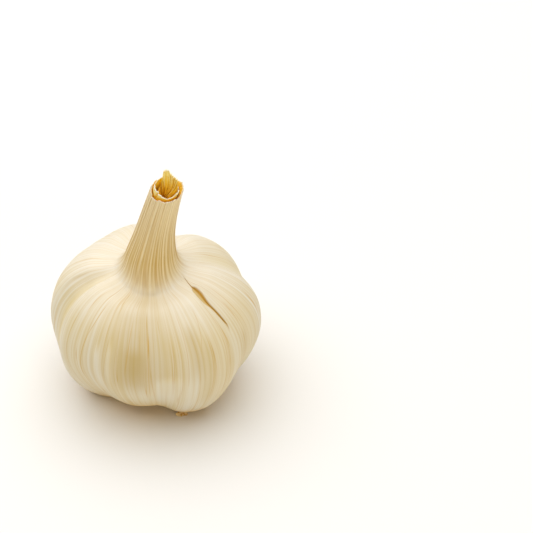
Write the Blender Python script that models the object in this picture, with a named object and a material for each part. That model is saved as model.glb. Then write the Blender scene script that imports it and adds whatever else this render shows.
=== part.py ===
# A whole dry garlic bulb: seven cloves under one papery skin, a ribbed neck cut open at the top with
# the torn end of an inner sheath and the old stalk's fibres inside it, and a trimmed root plate below.
# Metres, +Z up. The origin lies on the resting surface, under the middle of the bulb's box.
# Azimuths are degrees, anticlockwise from +X seen from above. The front is -Y.

import math
import random

import bmesh
import bpy
from mathutils import Vector

MM = 0.001

# Driving dimensions
BELLY_RADIUS = 30.0 * MM
BELLY_HEIGHT = 23.0 * MM
NECK_RADIUS = 4.6 * MM
NECK_TOP = 72.0 * MM
SOCKET_RADIUS = 3.8 * MM
SOCKET_FLOOR = 64.5 * MM
DISH_DEPTH = 4.2 * MM
PLATE_RADIUS = 8.0 * MM
GAP = 0.3 * MM

# Mesh fineness
CUTS = 96
STEPS = 2
SHEATH_CUTS = 36
PLATE_CUTS = 28
WELD = 0.01 * MM

# Outline from the middle of the root dish, round the belly and up the neck: radius and height in mm
OUTLINE = [
    (0.0, DISH_DEPTH / MM), (6.6, 4.1), (8.9, 3.1), (10.4, 1.2), (12.8, 0.1), (17.4, 1.6), (23.0, 6.8),
    (27.6, 14.6), (BELLY_RADIUS / MM, BELLY_HEIGHT / MM), (28.9, 30.6), (24.6, 36.8), (18.4, 40.9),
    (13.4, 42.3), (10.0, 43.3), (7.9, 45.7), (6.7, 50.2), (5.7, 56.0), (5.05, 63.6),
    (NECK_RADIUS / MM, NECK_TOP / MM)]
KNOTS = [Vector(point) * MM for point in OUTLINE]

# The cut mouth: over the rim, down the socket's wall and in across its floor
MOUTH = [
    Vector((NECK_RADIUS - 0.35 * MM, NECK_TOP + 0.2 * MM)), Vector((SOCKET_RADIUS, NECK_TOP)),
    Vector((SOCKET_RADIUS, 0.5 * (NECK_TOP + SOCKET_FLOOR))), Vector((SOCKET_RADIUS, SOCKET_FLOOR)),
    Vector((0.0, SOCKET_FLOOR))]

# Valleys between the cloves, then the cloves: azimuth, half width in degrees, and how far the skin
# stands out in mm at the shoulder and at the foot
VALLEYS = [
    (195, 10, -2.8, 0.8), (226, 19, -0.5, -2.2), (275, 11, -0.5, -1.1), (333, 14, -0.9, -2.2),
    (22, 16, -2.2, -0.8), (80, 14, -2.2, -2.0), (131, 13, 0.2, -1.8)]
CLOVES = [
    (162, 26, 1.3, 1.6), (205, 22, 1.0, 2.3), (263, 19, 0.3, -1.6), (314, 24, 1.5, 2.1),
    (358, 23, 0.8, 1.1), (50, 25, 0.8, 2.0), (105, 22, 2.3, 0.8)]
FOOT_TO_SHOULDER = (5.0 * MM, 30.0 * MM)
SWELL_NEAR_NECK = (7.0 * MM, 20.0 * MM)
SWELL_NEAR_DISH = (9.6 * MM, 14.5 * MM)

# The neck's foot reaches further out and down at the front: azimuth and half width in degrees
NECK_FOOT = (268.0, 52.0)
NECK_FOOT_OUT = 1.5 * MM
NECK_FOOT_DOWN = 2.5 * MM
NECK_FOOT_RISE = (41.5 * MM, 44.0 * MM)
NECK_FOOT_END = (46.0 * MM, 60.0 * MM)
DIP_RIM = (10.5 * MM, 21.0 * MM)
DIP_RISE = (36.0 * MM, 40.0 * MM)

# Ribs that run down the neck and die out over the shoulders
RIBS = 24
NECK_RIB = 0.22 * MM
SHOULDER_RIB = 0.1 * MM
NECK_RIM = (9.2 * MM, 14.0 * MM)
SHOULDER_RIB_START = (18.0 * MM, 34.0 * MM)

# Ragged edge of the rim: waves round the mouth, height in mm and phase in degrees
RIM_WAVES = [(3, 0.25, 20.0), (7, 0.16, 140.0), (13, 0.12, 65.0)]
RIM_START = 69.0 * MM

# The neck's cut slopes down to the front, and the neck leans to the right and forward
SLANT = 0.22
SLANT_START = 48.0 * MM
LEAN_START = 40.0 * MM
LEAN = Vector((6.0, -3.5)) * MM
LEAN_POWER = 1.5
NECK_OFFSET = -1.6 * MM
NECK_OFFSET_START = (30.0 * MM, 50.0 * MM)

# Split in the skin from the neck's foot down the front right: outline station, azimuth, half width in mm
TEAR = [
    (13.0, 333.2, 0.15), (12.5, 329.6, 0.18), (12.1, 326.0, 0.2), (11.75, 323.1, 0.3), (11.5, 321.6, 0.6),
    (11.3, 320.5, 0.95), (11.05, 319.4, 1.0), (10.8, 318.5, 0.75), (10.6, 317.8, 0.5), (10.4, 318.4, 0.28),
    (10.0, 319.2, 0.2), (9.6, 320.4, 0.15)]

# Torn end of the inner sheath: outer radius, wall, and its edge's height over the mouth by azimuth, in mm
SHEATH_RADIUS = SOCKET_RADIUS - GAP - 0.05 * MM
SHEATH_WALL = 0.45 * MM
SHEATH_EDGE = [(0, 1.9), (30, 1.6), (90, 1.0), (150, 1.6), (200, 2.2), (235, 2.1), (268, 1.0), (287, 0.2),
               (305, 0.7), (330, 1.3)]
SHEATH_RAG = 0.18 * MM

# Old stalk: a scooped core with strands on it, low at the front and drawn up to a tip at the back
CORE_RADIUS = SHEATH_RADIUS - SHEATH_WALL - GAP
CORE_FRONT = -2.2 * MM
CORE_RISE = 5.6 * MM
STRANDS = 22
STRAND_RADIUS = (0.3, 0.46)
STRAND_FRONT = -1.2 * MM
STRAND_RISE = 7.4 * MM
STRAND_TIP = Vector((-0.4, 1.5)) * MM
STRAND_SEED = 11

# Root plate: its own outline in mm, and the stubs of the cut roots
PLATE = [(0.0, 3.9), (5.4, 3.75), (7.4, 3.2), (PLATE_RADIUS / MM, 2.6), (7.5, 1.9), (5.0, 1.6), (0.0, 1.8)]
STUBS = 34
STUB_RING = (2.6 * MM, 7.0 * MM)
STUB_RADIUS = (0.4, 0.6)
STUB_END = (0.4 * MM, 1.2 * MM)
STUB_SPLAY = 1.12
STUB_SEED = 5
GOLDEN_ANGLE = math.pi * (3.0 - math.sqrt(5.0))

SKIN = ("dry_outer_skin", (0.80, 0.70, 0.50), 0.55)
SHEATH = ("inner_sheath_skin", (0.62, 0.38, 0.09), 0.6)
STALK = ("dry_stalk_fibre", (0.56, 0.30, 0.03), 0.7)
ROOT = ("dry_root_plate", (0.35, 0.24, 0.13), 0.85)


def ramp(span, value):
    """Smooth step from 0 at the span's start to 1 at its end."""
    low, high = span
    part = min(max((value - low) / (high - low), 0.0), 1.0)
    return part * part * (3.0 - 2.0 * part)


def outline_at(station):
    """Point of the Catmull-Rom curve through the outline's points, station 1.5 being half way from 1 to 2."""
    knots = [2.0 * KNOTS[0] - KNOTS[1]] + KNOTS + [2.0 * KNOTS[-1] - KNOTS[-2]]
    first = min(int(station), len(KNOTS) - 2)
    part = station - first
    a, b, c, d = knots[first:first + 4]
    linear = (c - a) * part
    square = (2.0 * a - 5.0 * b + 4.0 * c - d) * part ** 2
    cube = (3.0 * b - a - 3.0 * c + d) * part ** 3
    return 0.5 * (2.0 * b + linear + square + cube)


def outward(station):
    """The outline's outward direction at a station."""
    reach = 0.25
    last = len(KNOTS) - 1
    along = outline_at(min(station + reach, last)) - outline_at(max(station - reach, 0.0))
    along.normalize()
    return Vector((along.y, -along.x))


def swell(azimuth, radius, height):
    """How far the skin stands out over the cloves, or in between them."""
    shoulder = ramp(FOOT_TO_SHOULDER, height)
    near = SWELL_NEAR_NECK if height > BELLY_HEIGHT else SWELL_NEAR_DISH
    total = 0.0
    for middle, width, top, foot in VALLEYS + CLOVES:
        off = ((azimuth - middle + 180.0) % 360.0 - 180.0) / width
        total += math.exp(-off * off) * (top * shoulder + foot * (1.0 - shoulder))
    return total * ramp(near, radius) * MM


def foot_shift(azimuth, radius, height):
    """How far the neck's foot moves outward and up, at the front."""
    middle, width = NECK_FOOT
    off = ((azimuth - middle + 180.0) % 360.0 - 180.0) / width
    share = math.exp(-off * off) * (1.0 - ramp(NECK_FOOT_END, height))
    dip = (1.0 - ramp(DIP_RIM, radius)) * ramp(DIP_RISE, height)
    return NECK_FOOT_OUT * share * ramp(NECK_FOOT_RISE, height), -NECK_FOOT_DOWN * share * dip


def rib(azimuth, radius, height):
    """Relief of the neck's ribs, which fade over the shoulders."""
    neck = 1.0 - ramp(NECK_RIM, radius) if height > BELLY_HEIGHT else 0.0
    amount = NECK_RIB * neck + SHOULDER_RIB * (1.0 - neck) * ramp(SHOULDER_RIB_START, height)
    return amount * math.cos(math.radians(azimuth * RIBS))


def rim_wave(azimuth, height):
    """Ragged height of the cut rim."""
    total = sum(high * math.sin(math.radians(count * azimuth + phase)) for count, high, phase in RIM_WAVES)
    return total * MM * ramp((RIM_START, NECK_TOP), height)


def lean(point):
    """Slope the neck's cut to the front, then bend the neck to the right and forward."""
    x, y, z = point
    high = z + SLANT * y * ramp((SLANT_START, NECK_TOP), z)
    part = max((high - LEAN_START) / (NECK_TOP - LEAN_START), 0.0) ** LEAN_POWER
    aside = NECK_OFFSET * ramp(NECK_OFFSET_START, high)
    return Vector((x + LEAN.x * part + aside, y + LEAN.y * part, high))


def polar(azimuth, radius, height):
    """Point at an azimuth in degrees."""
    turn = math.radians(azimuth)
    return Vector((radius * math.cos(turn), radius * math.sin(turn), height))


def skin_point(station, azimuth):
    """Point of the bulb's skin, with its cloves, ribs, flat feet and leaning neck."""
    radius, height = outline_at(station)
    push = swell(azimuth, radius, height) + rib(azimuth, radius, height)
    side, up = outward(station) * push
    further, raised = foot_shift(azimuth, radius, height)
    high = max(height + up + raised, 0.0) + rim_wave(azimuth, height)
    return lean(polar(azimuth, radius + side + further, high))


def azimuth_of(point):
    """Azimuth of a point in degrees, from 0 to 360."""
    return math.degrees(math.atan2(point.y, point.x)) % 360.0


def spin_outline(points, cuts):
    """Closed turned shape of the outline. Each vertex keeps its outline point's number in the ring layer."""
    bm = bmesh.new()
    ring = bm.verts.layers.int.new("ring")
    last = None
    for number, (radius, height) in enumerate(points):
        vert = bm.verts.new((radius, 0.0, height))
        vert[ring] = number
        if last:
            bm.edges.new((last, vert))
        last = vert
    bmesh.ops.spin(
        bm, geom=bm.verts[:] + bm.edges[:], cent=(0, 0, 0), axis=(0, 0, 1), dvec=(0, 0, 0),
        angle=math.tau, steps=cuts, use_merge=True)
    bmesh.ops.remove_doubles(bm, verts=bm.verts, dist=WELD)
    return bm, ring


def material(finish):
    """Principled material of one finish: name, colour and roughness."""
    name, colour, roughness = finish
    made = bpy.data.materials.new(name)
    made.use_nodes = True
    shader = made.node_tree.nodes["Principled BSDF"]
    shader.inputs["Base Color"].default_value = (*colour, 1.0)
    shader.inputs["Roughness"].default_value = roughness
    shader.inputs["Metallic"].default_value = 0.0
    return made


def add_object(name, bm, finish):
    """Mesh object of a bmesh, with its faces pointing out and its own material."""
    bmesh.ops.recalc_face_normals(bm, faces=bm.faces)
    mesh = bpy.data.meshes.new(name)
    bm.to_mesh(mesh)
    bm.free()
    mesh.materials.append(material(finish))
    mesh.shade_smooth()
    mesh.set_sharp_from_angle(angle=math.radians(50.0))
    made = bpy.data.objects.new(name, mesh)
    bpy.context.scene.collection.objects.link(made)
    return made


def add_tube(name, points, radii, resolution):
    """Closed tube through the points, with a radius in mm at each."""
    curve = bpy.data.curves.new(name, "CURVE")
    curve.dimensions = "3D"
    curve.bevel_depth = MM
    curve.bevel_resolution = resolution
    curve.use_fill_caps = True
    spline = curve.splines.new("POLY")
    spline.points.add(len(points) - 1)
    for slot, point, radius in zip(spline.points, points, radii):
        slot.co = (*point, 1.0)
        slot.radius = radius
    guide = bpy.data.objects.new(name, curve)
    mesh = bpy.data.meshes.new_from_object(guide)
    bpy.data.objects.remove(guide)
    bm = bmesh.new()
    bm.from_mesh(mesh)
    bmesh.ops.remove_doubles(bm, verts=bm.verts, dist=WELD)
    bmesh.ops.recalc_face_normals(bm, faces=bm.faces)
    bm.to_mesh(mesh)
    bm.free()
    return bpy.data.objects.new(name, mesh)


def fuse(body, pieces):
    """Join the pieces to a body with one Boolean union, and remove them."""
    group = bpy.data.collections.new(body.name + "_repeats")
    bpy.context.scene.collection.children.link(group)
    for piece in pieces:
        group.objects.link(piece)
    union = body.modifiers.new("fuse", "BOOLEAN")
    union.operation = "UNION"
    union.operand_type = "COLLECTION"
    union.collection = group
    union.solver = "MANIFOLD"
    fused = bpy.data.meshes.new_from_object(body.evaluated_get(bpy.context.evaluated_depsgraph_get()))
    body.modifiers.clear()
    body.data = fused
    for piece in pieces:
        bpy.data.objects.remove(piece)
    bpy.data.collections.remove(group)


def build_bulb():
    """Skin over the seven cloves with its ribbed neck, as one solid with an open mouth."""
    stations = [number / STEPS for number in range(STEPS * (len(KNOTS) - 1) + 1)]
    outline = [outline_at(station) for station in stations]
    bm, ring = spin_outline(outline + MOUTH, CUTS)
    for vert in bm.verts:
        azimuth = azimuth_of(vert.co)
        if vert[ring] < len(stations):
            vert.co = skin_point(stations[vert[ring]], azimuth)
        else:
            radius = vert.co.xy.length
            vert.co = lean(polar(azimuth, radius, vert.co.z + rim_wave(azimuth, vert.co.z)))
    return add_object("bulb", bm, SKIN)


def cut_tear(bulb):
    """Cut the split in the skin, as a groove along a meridian."""
    points = [skin_point(station, azimuth) for station, azimuth, _ in TEAR]
    cutter = add_tube("tear_cutter", points, [row[2] for row in TEAR], 0)
    bpy.context.scene.collection.objects.link(cutter)
    cutter.hide_render = True
    cutter.display_type = "WIRE"
    groove = bulb.modifiers.new("tear", "BOOLEAN")
    groove.operation = "DIFFERENCE"
    groove.object = cutter
    groove.solver = "EXACT"


def edge_height(azimuth):
    """Height of the sheath's torn edge over the mouth at an azimuth."""
    turned = SHEATH_EDGE + [(SHEATH_EDGE[0][0] + 360, SHEATH_EDGE[0][1])]
    for (start, low), (end, high) in zip(turned, turned[1:]):
        if start <= azimuth <= end:
            return (low + (high - low) * ramp((start, end), azimuth)) * MM
    return SHEATH_EDGE[0][1] * MM


def build_inner_sheath():
    """Tube of the inner sheath in the socket, with a torn edge notched at the front."""
    inside = SHEATH_RADIUS - SHEATH_WALL
    floor = SOCKET_FLOOR + GAP
    middle = 0.5 * (floor + NECK_TOP)
    outline = [(inside, floor), (SHEATH_RADIUS, floor), (SHEATH_RADIUS, middle), (SHEATH_RADIUS, NECK_TOP),
               (inside, NECK_TOP), (inside, middle), (inside, floor)]
    bm, ring = spin_outline(outline, SHEATH_CUTS)
    rag = random.Random(STRAND_SEED)
    rags = [rag.uniform(-SHEATH_RAG, SHEATH_RAG) for _ in range(SHEATH_CUTS)]
    for vert in bm.verts:
        azimuth = azimuth_of(vert.co)
        if vert.co.z > NECK_TOP - WELD:
            cut = round(azimuth * SHEATH_CUTS / 360.0) % SHEATH_CUTS
            vert.co.z += edge_height(azimuth) + rags[cut]
        vert.co = lean(vert.co)
    return add_object("inner_sheath", bm, SHEATH)


def rise(azimuth, front, height):
    """Height over the mouth of the stalk's broken end, which climbs from the front to the back."""
    back = 0.5 + 0.5 * math.sin(math.radians(azimuth))
    return NECK_TOP + front + height * back ** 1.6


def build_neck_core():
    """Old stalk in the sheath: a scooped core with its strands fused on."""
    floor = SOCKET_FLOOR + GAP
    width = CORE_RADIUS - 0.35 * MM
    outline = [(0.0, floor), (width, floor), (width, NECK_TOP - 3.0 * MM), (width, NECK_TOP),
               (0.6 * width, NECK_TOP), (0.0, NECK_TOP)]
    bm, ring = spin_outline(outline, 20)
    for vert in bm.verts:
        if vert.co.z > NECK_TOP - WELD:
            azimuth = azimuth_of(vert.co)
            scoop = vert.co.xy.length / width
            edge = rise(azimuth, CORE_FRONT, CORE_RISE)
            hollow = rise(0.0, CORE_FRONT, CORE_RISE)
            vert.co.z = hollow + (edge - hollow) * scoop
        vert.co = lean(vert.co)
    core = add_object("neck_core", bm, STALK)
    draw = random.Random(STRAND_SEED)
    strands = []
    for number in range(STRANDS):
        azimuth = number * 360.0 / STRANDS + draw.uniform(-5.0, 5.0)
        thick = draw.uniform(*STRAND_RADIUS)
        root = polar(azimuth, CORE_RADIUS - thick * MM, floor + 0.2 * MM)
        neck = Vector((root.x, root.y, NECK_TOP - 1.5 * MM))
        end_height = rise(azimuth, STRAND_FRONT, STRAND_RISE) + draw.uniform(-0.7, 0.7) * MM
        pull = 0.75 * ramp((NECK_TOP, NECK_TOP + STRAND_RISE), end_height)
        end = Vector((*root.xy.lerp(STRAND_TIP, pull), end_height))
        points = [root, neck, neck.lerp(end, 0.55), end]
        widths = [thick, thick, 0.8 * thick, 0.35 * thick]
        strands.append(add_tube("strand", [lean(point) for point in points], widths, 1))
    fuse(core, strands)
    return core


def build_root_plate():
    """Woody plate in the dish under the bulb, with the stubs of its cut roots fused on."""
    bm, ring = spin_outline([Vector(point) * MM for point in PLATE], PLATE_CUTS)
    plate = add_object("root_plate", bm, ROOT)
    draw = random.Random(STUB_SEED)
    stubs = []
    for number in range(STUBS):
        share = (number + 0.5) / STUBS
        near, far = STUB_RING
        radius = near + (far - near) * math.sqrt(share)
        azimuth = math.degrees(number * GOLDEN_ANGLE) + draw.uniform(-8.0, 8.0)
        thick = draw.uniform(*STUB_RADIUS)
        root = polar(azimuth, radius, 2.6 * MM)
        end = polar(azimuth, radius * STUB_SPLAY, draw.uniform(*STUB_END))
        stubs.append(add_tube("stub", [root, end], [thick, 0.8 * thick], 1))
    fuse(plate, stubs)
    return plate


def centre_on_origin(nodes):
    """Move the parts together, so that the origin is under the middle of their box, on the surface."""
    corners = [point.co for node in nodes for point in node.data.vertices]
    middle_x = 0.5 * (min(p.x for p in corners) + max(p.x for p in corners))
    middle_y = 0.5 * (min(p.y for p in corners) + max(p.y for p in corners))
    for item in bpy.context.scene.objects:
        item.location = (-middle_x, -middle_y, 0.0)


def main():
    for item in list(bpy.data.objects):
        bpy.data.objects.remove(item)
    bulb = build_bulb()
    cut_tear(bulb)
    nodes = [bulb, build_inner_sheath(), build_neck_core(), build_root_plate()]
    centre_on_origin(nodes)


main()
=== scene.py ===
import math
import random
import bmesh
import bpy
import numpy as np
from mathutils import Matrix, Vector


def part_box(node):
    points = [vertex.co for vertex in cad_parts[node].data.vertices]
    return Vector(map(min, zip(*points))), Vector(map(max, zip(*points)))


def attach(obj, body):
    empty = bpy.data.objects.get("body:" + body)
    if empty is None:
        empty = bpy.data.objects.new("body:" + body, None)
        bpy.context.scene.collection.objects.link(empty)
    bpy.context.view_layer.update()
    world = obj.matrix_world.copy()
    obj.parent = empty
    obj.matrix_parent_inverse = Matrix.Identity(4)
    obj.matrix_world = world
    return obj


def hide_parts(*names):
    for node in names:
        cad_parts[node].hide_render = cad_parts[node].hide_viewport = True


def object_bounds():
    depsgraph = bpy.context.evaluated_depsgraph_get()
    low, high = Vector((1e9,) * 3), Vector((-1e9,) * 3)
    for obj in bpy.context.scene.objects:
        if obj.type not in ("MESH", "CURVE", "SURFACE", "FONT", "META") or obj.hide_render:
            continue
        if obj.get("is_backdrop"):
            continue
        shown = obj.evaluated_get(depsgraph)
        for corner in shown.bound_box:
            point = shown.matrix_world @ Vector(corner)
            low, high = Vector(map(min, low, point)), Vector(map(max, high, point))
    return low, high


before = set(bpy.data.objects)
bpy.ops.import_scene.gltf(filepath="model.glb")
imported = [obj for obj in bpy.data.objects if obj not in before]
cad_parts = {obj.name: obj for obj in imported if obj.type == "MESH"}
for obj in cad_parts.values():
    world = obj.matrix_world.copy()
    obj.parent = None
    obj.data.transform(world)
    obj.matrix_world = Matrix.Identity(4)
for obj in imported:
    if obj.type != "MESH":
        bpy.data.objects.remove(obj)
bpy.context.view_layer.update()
mm = 0.001

# Azimuths are degrees, anticlockwise from +X seen from above, and the front is -Y.
# Shape values are in millimetres and turn to metres when a mesh is finished.
bulbForm = {
    # from the middle of the root dish, round the belly and up the neck: radius, height
    "outline": [(0.0, 4.2), (6.6, 4.1), (8.9, 3.1), (10.4, 1.2), (12.8, 0.1), (17.4, 1.6), (23.0, 6.8),
                (27.6, 14.6), (30.0, 23.0), (28.9, 30.6), (24.6, 36.8), (18.4, 40.9), (13.4, 42.3),
                (10.0, 43.3), (7.9, 45.7), (6.7, 50.2), (5.7, 56.0), (5.05, 63.6), (4.6, 72.0)],
    # azimuth, half width, how far the skin stands out at the shoulder and at the foot
    "valleys": [(195, 10, -2.8, 0.8), (226, 19, -0.5, -2.2), (275, 11, -0.5, -1.1), (333, 14, -0.9, -2.2),
                (22, 16, -2.2, -0.8), (80, 14, -2.2, -2.0), (131, 13, 0.2, -1.8)],
    "cloves": [(162, 26, 1.3, 1.6), (205, 22, 1.0, 2.3), (263, 19, 0.3, -1.6), (314, 24, 1.5, 2.1),
               (358, 23, 0.8, 1.1), (50, 25, 0.8, 2.0), (105, 22, 2.3, 0.8)],
    "footToShoulder": (5.0, 30.0),
    "swellNearNeck": (7.0, 20.0),
    "swellNearDish": (9.6, 14.5),
    # the neck's foot reaches further out and down at the front: azimuth, half width, how far each way
    "neckFoot": (268.0, 52.0, 1.5, 2.5),
    "neckFootRise": (41.5, 44.0),
    "neckFootEnd": (46.0, 60.0),
    "dipRim": (10.5, 21.0),
    "dipRise": (36.0, 40.0),
    "ribs": 24,
    "neckRib": 0.28,
    "shoulderRib": 0.1,
    "neckRim": (9.2, 14.0),
    "shoulderRibStart": (18.0, 34.0),
    "rimWaves": [(3, 0.25, 20.0), (7, 0.16, 140.0), (13, 0.12, 65.0)],
    # azimuth, half width and how far the rim rises there
    "rimRises": [(165.0, 32.0, 0.75), (20.0, 18.0, 0.45), (262.0, 40.0, -0.35)],
    "rimStart": 69.0,
    "neckTop": 72.0,
    "slant": 0.22,
    "slantStart": 48.0,
    "leanStart": 40.0,
    "lean": (6.0, -3.5),
    "leanPower": 1.5,
    "neckOffset": -1.6,
    "neckOffsetStart": (30.0, 50.0),
}
bellyRadius, bellyHeight = max(bulbForm["outline"])


def smoothStep(span, value):
    part = np.clip((value - span[0]) / (span[1] - span[0]), 0.0, 1.0)
    return part * part * (3.0 - 2.0 * part)


def degreesOff(azimuth, middle):
    return (azimuth - middle + 180.0) % 360.0 - 180.0


def hump(azimuth, middle, width):
    # 1 at the middle, falling softly to both sides
    return np.exp(-(degreesOff(azimuth, middle) / width) ** 2)


def outlineAt(stations):
    knots = np.array(bulbForm["outline"])
    knots = np.vstack([2 * knots[0] - knots[1], knots, 2 * knots[-1] - knots[-2]])
    first = np.minimum(stations.astype(int), len(knots) - 4)
    part = (stations - first)[:, None]
    a, b, c, d = knots[first], knots[first + 1], knots[first + 2], knots[first + 3]
    linear = (c - a) * part
    square = (2 * a - 5 * b + 4 * c - d) * part ** 2
    cube = (3 * b - a - 3 * c + d) * part ** 3
    return 0.5 * (2 * b + linear + square + cube)


def outwardAt(stations):
    last, reach = len(bulbForm["outline"]) - 1.0, 0.25
    along = outlineAt(np.minimum(stations + reach, last)) - outlineAt(np.maximum(stations - reach, 0.0))
    along /= np.linalg.norm(along, axis=1)[:, None]
    return np.stack([along[:, 1], -along[:, 0]], axis=1)


def ringNoise(azimuth, along, counts, seed, most=0.06):
    # soft noise that closes on itself round the bulb and drifts slowly along the skin
    draw = random.Random(seed)
    total = np.zeros_like(azimuth)
    for count in counts:
        phase, drift = draw.uniform(0.0, math.tau), draw.uniform(-most, most)
        total += draw.uniform(0.5, 1.0) * np.cos(np.radians(azimuth * count) + phase + along * drift)
    return total / math.sqrt(len(counts))


def swellAt(azimuth, radius, height):
    form = bulbForm
    shoulder = smoothStep(form["footToShoulder"], height)
    near = np.where(height > bellyHeight, smoothStep(form["swellNearNeck"], radius),
                    smoothStep(form["swellNearDish"], radius))
    total = np.zeros_like(azimuth)
    for middle, width, top, foot in form["valleys"] + form["cloves"]:
        far = top * shoulder + foot * (1 - shoulder)
        total += far * hump(azimuth, middle, width)
    return total * near


def footShift(azimuth, radius, height):
    form = bulbForm
    middle, width, out, down = form["neckFoot"]
    share = hump(azimuth, middle, width) * (1 - smoothStep(form["neckFootEnd"], height))
    dip = (1 - smoothStep(form["dipRim"], radius)) * smoothStep(form["dipRise"], height)
    return out * share * smoothStep(form["neckFootRise"], height), -down * share * dip


def neckShare(radius, height):
    # 1 on the neck, fading to 0 over the inner shoulders
    return (1 - smoothStep(bulbForm["neckRim"], radius)) * (height > bellyHeight)


def ribAt(azimuth, radius, height):
    form = bulbForm
    neck = neckShare(radius, height)
    low = form["shoulderRib"] * (1 - neck) * smoothStep(form["shoulderRibStart"], height)
    return (form["neckRib"] * neck + low) * np.cos(np.radians(azimuth * form["ribs"]))


def rimWaveAt(azimuth, height):
    form = bulbForm
    total = sum(high * np.sin(np.radians(count * azimuth + phase)) for count, high, phase in form["rimWaves"])
    total += sum(high * hump(azimuth, middle, width) for middle, width, high in form["rimRises"])
    return total * smoothStep((form["rimStart"], form["neckTop"]), height)


def leaned(x, y, z):
    form = bulbForm
    high = z + form["slant"] * y * smoothStep((form["slantStart"], form["neckTop"]), z)
    part = (high - form["leanStart"]) / (form["neckTop"] - form["leanStart"])
    part = np.maximum(part, 0.0) ** form["leanPower"]
    aside = form["neckOffset"] * smoothStep(form["neckOffsetStart"], high)
    return np.stack([x + form["lean"][0] * part + aside, y + form["lean"][1] * part, high], axis=1)


def turned(azimuth, radius):
    return radius * np.cos(np.radians(azimuth)), radius * np.sin(np.radians(azimuth))


# The split in the skin follows a meridian from the neck's foot down the front right.
tear = {
    # outline station, azimuth of the left and of the right edge
    "edges": [(9.2, 319.0, 319.4), (9.45, 319.9, 320.9), (9.6, 319.8, 321.3), (9.85, 318.9, 320.8),
              (10.15, 318.2, 320.3), (10.35, 317.6, 319.9), (10.47, 316.8, 319.7), (10.55, 315.9, 319.9),
              (10.7, 315.5, 320.6), (10.85, 315.3, 321.8), (11.0, 315.4, 323.0), (11.2, 316.2, 324.0),
              (11.35, 316.7, 324.7), (11.5, 318.9, 324.9), (11.62, 320.9, 324.6), (11.75, 322.4, 324.0),
              (11.95, 324.1, 325.4), (12.15, 325.7, 326.9), (12.55, 329.2, 330.3), (13.0, 332.7, 333.4),
              (13.4, 334.1, 334.4)],
    "leftColumn": 451,
    "rightColumn": 456,
    "spread": 21.0,
    # share of the way from the left to the right edge, and the depth there
    "floor": [(0.0, 0.0), (0.07, -0.2), (0.33, -0.26), (0.62, -0.42), (0.93, -0.66), (1.0, 0.26)],
    "lipWidth": 1.3,
    "openWidth": (0.35, 1.3),
    # stations over which the columns slide to the edges and back, and the skin opens and closes
    "slide": ((8.0, 9.2), (13.2, 16.5)),
    "open": ((9.3, 9.8), (12.8, 13.3)),
    "narrowDepth": 0.45,
    # the left edge curls up: how far, and over what width
    "curl": (0.1, 0.6),
    "bareShares": (0.02, 0.98),
    # from this share on, the split's floor is painted dark as the shadow of the raised right lip
    "shadowFrom": 0.6,
}
skinMesh = {
    "cuts": 512,
    "steps": 10,
    "fold": 0.015,
    "ribShare": 0.28,
    "ribVary": 0.5,
    "ribWander": 2.2,
    "fineRidge": 0.03,
    "neckTone": (6.8, 10.4),
    "toneRibs": 48,
    "toneRim": (8.5, 16.0),
    # broad tan and whitish bands of skin, and one band of painted shade: azimuth and height of the top, the
    # same of the foot, half width in degrees, and the share of tan (less than 0 for whitish)
    "streaksAndShade": [(236.5, 31, 238.0, 18, 1.6, -0.8), (244.7, 33, 245.0, 22, 1.3, -0.6),
                # the tan band at 262 degrees with a half width of 24 is painted shade over the front middle,
                # which faces away from the key lamp
                (279.0, 24, 279.0, 12, 8.0, -0.6), (262.0, 41, 262.0, 20, 24.0, 0.45),
                (260.0, 33, 260.0, 24, 7.0, 0.35), (295.5, 37, 295.5, 26, 3.5, 0.35),
                (303.0, 34, 302.0, 12, 4.0, 0.2), (330.0, 30, 327.0, 12, 4.0, 0.25),
                (161.5, 34, 161.5, 32, 1.3, 0.9), (183.5, 40.5, 183.0, 39, 1.5, 0.7),
                (205.0, 36, 203.0, 20, 1.6, 0.3), (12.0, 36, 10.0, 12, 3.0, 0.25),
                (60.0, 36, 58.0, 14, 2.0, 0.35), (95.0, 37, 97.0, 18, 1.4, 0.4),
                (120.0, 36, 119.0, 16, 2.6, -0.5), (150.0, 36, 148.0, 14, 1.6, 0.35)],
    # how far beyond its foot and top each band fades, from nothing to full
    "streakAndShadeFoot": (-6.0, 4.0),
    "streakAndShadeTop": (-2.0, 2.5),
    "foldStart": (9.0, 20.0),
    # depth at which the painted shade in the hollows is full
    "hollowShadeDepth": 2.0,
    "toneWander": 0.8,
    "toneSway": 1.5,
    "toneVary": 0.35,
    # waves round the bulb: their counts, a seed, and the most that they drift along the skin
    "waves": {"wander": ((5, 7, 11), 2, 0.01), "ribs": ((4, 9, 13), 4, 0.02),
              "folds": ((19, 27, 33, 41, 55), 6, 0.012), "ridges": ((47, 61, 73, 89), 8, 0.02),
              "sway": ((7, 13, 19), 16, 0.02), "tone": ((7, 12, 17), 9, 0.06)},
}
mouthForm = {
    # radius, height under the neck's top, over the rim and down to the socket's floor
    "points": [(4.6, -0.1), (4.5, -0.16), (4.38, -0.14), (4.26, 0.0), (4.12, 0.35), (3.9, 0.75), (3.65, 1.05),
               (3.6, 2.4), (3.6, 5.0), (3.6, 7.5), (2.6, 7.5), (1.2, 7.5), (0.0, 7.5)],
    # how much of the skin's relief carries on over the rim, point by point
    "pushShares": (0.95, 0.85, 0.7, 0.5, 0.3, 0.15, 0.05, 0.0),
    "rag": 0.07,
    "ragWaves": ((17, 23, 31, 41, 53), 12),
    "ragDepth": 1.2,
    # radii between which the colour of the skin's inside takes over
    "insideRim": (4.2, 4.45),
}


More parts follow.
